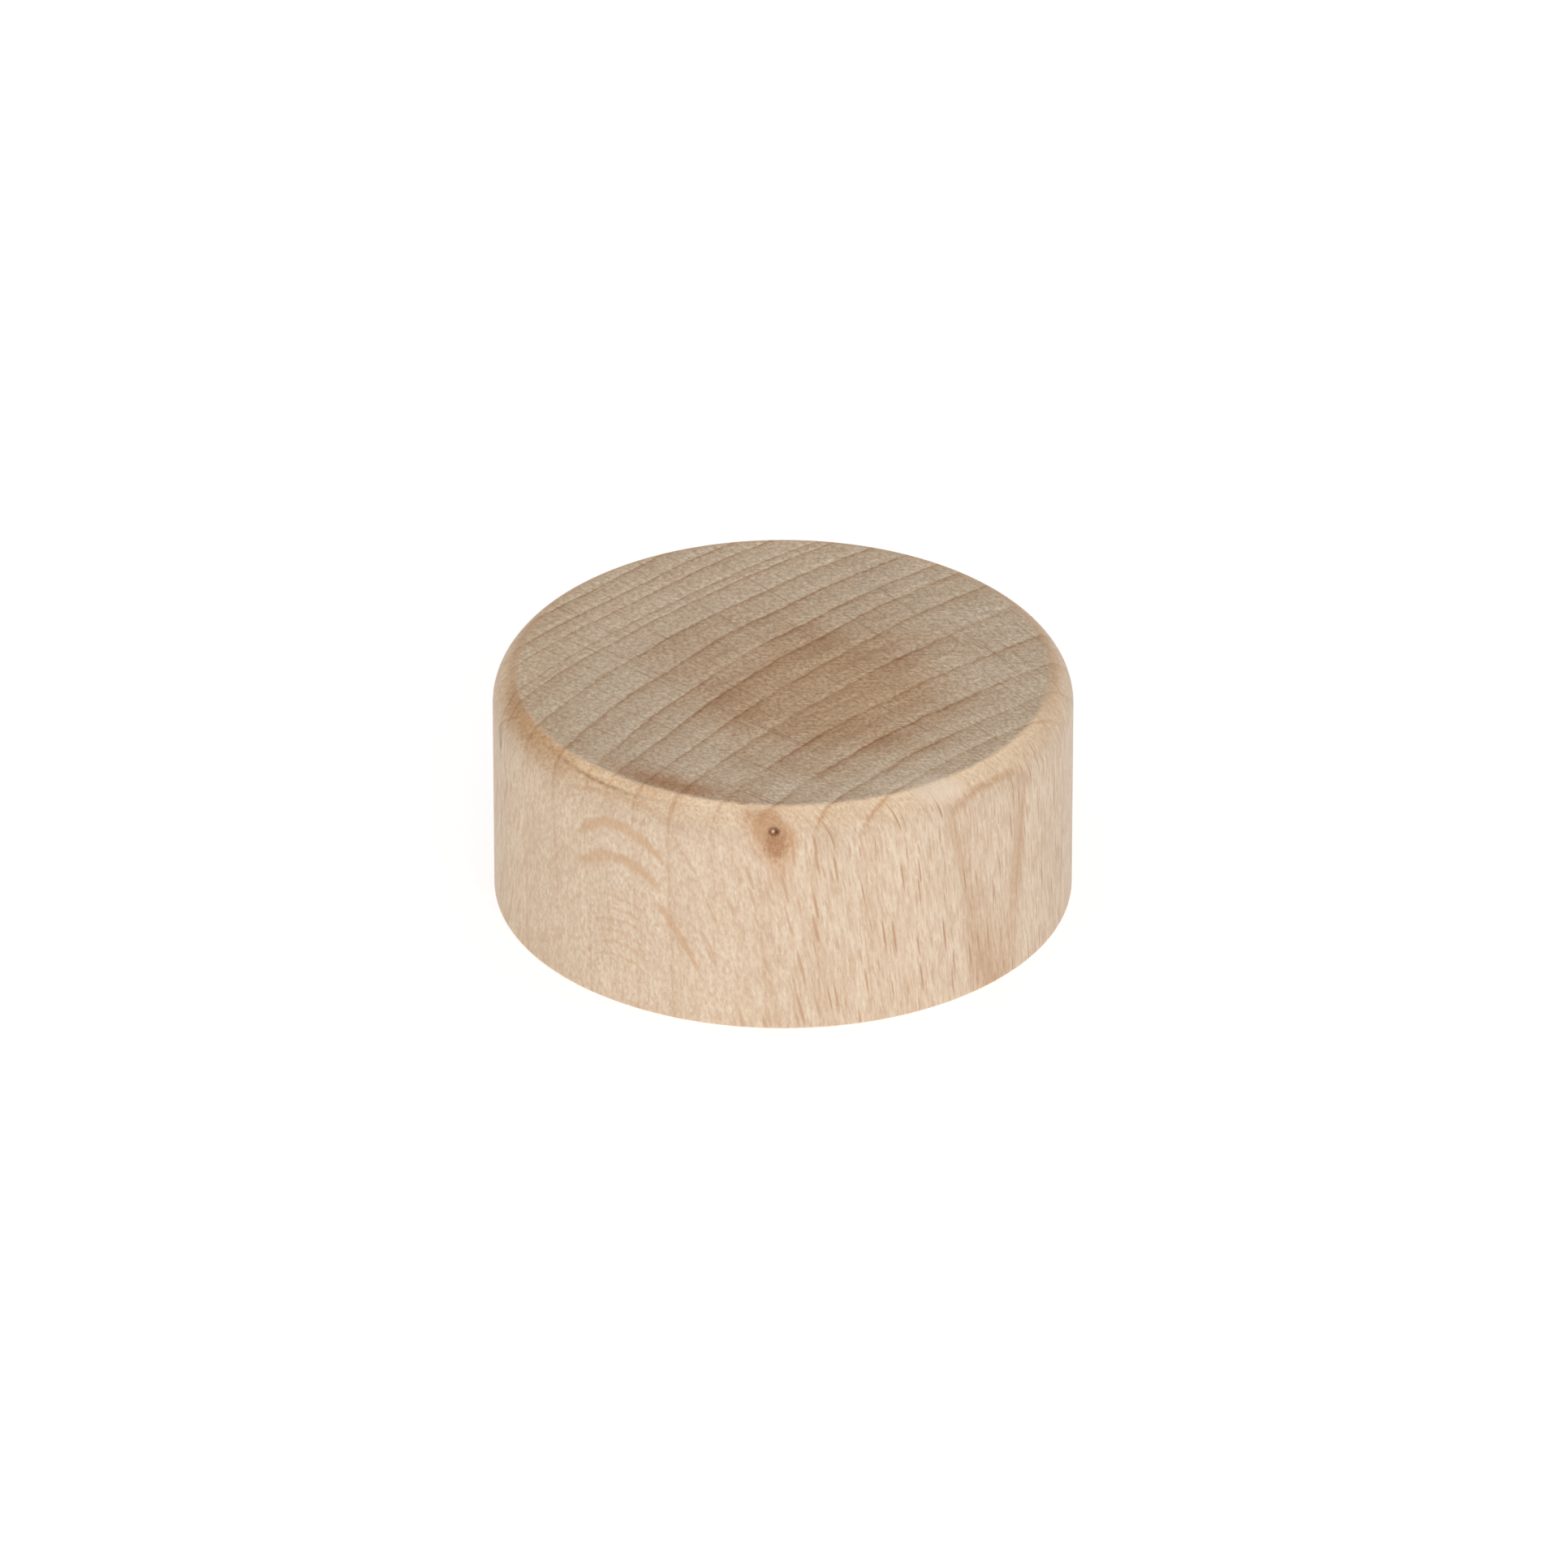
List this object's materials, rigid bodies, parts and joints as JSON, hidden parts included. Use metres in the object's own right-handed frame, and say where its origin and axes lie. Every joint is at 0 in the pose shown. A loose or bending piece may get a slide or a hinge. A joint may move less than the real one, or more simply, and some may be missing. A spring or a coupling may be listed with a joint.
{
  "type": "dealer button",
  "caption": "Plain round wooden disc with a flat end-grain face, a rounded upper edge and a flat base, slid round a table to mark whose turn it is to deal.",
  "frame": {"origin": "centre of the flat base", "axes": "+Z along the turning axis and the grain, out of the flat face; -Y towards the viewer, where the pin knot is"},
  "size_m": [0.05, 0.05, 0.021],
  "materials": {
    "beech": "bare sanded beech, matt, end grain on both flat faces"
  },
  "bodies": {
    "root": {"disc": "beech"}
  },
  "joints": []
}
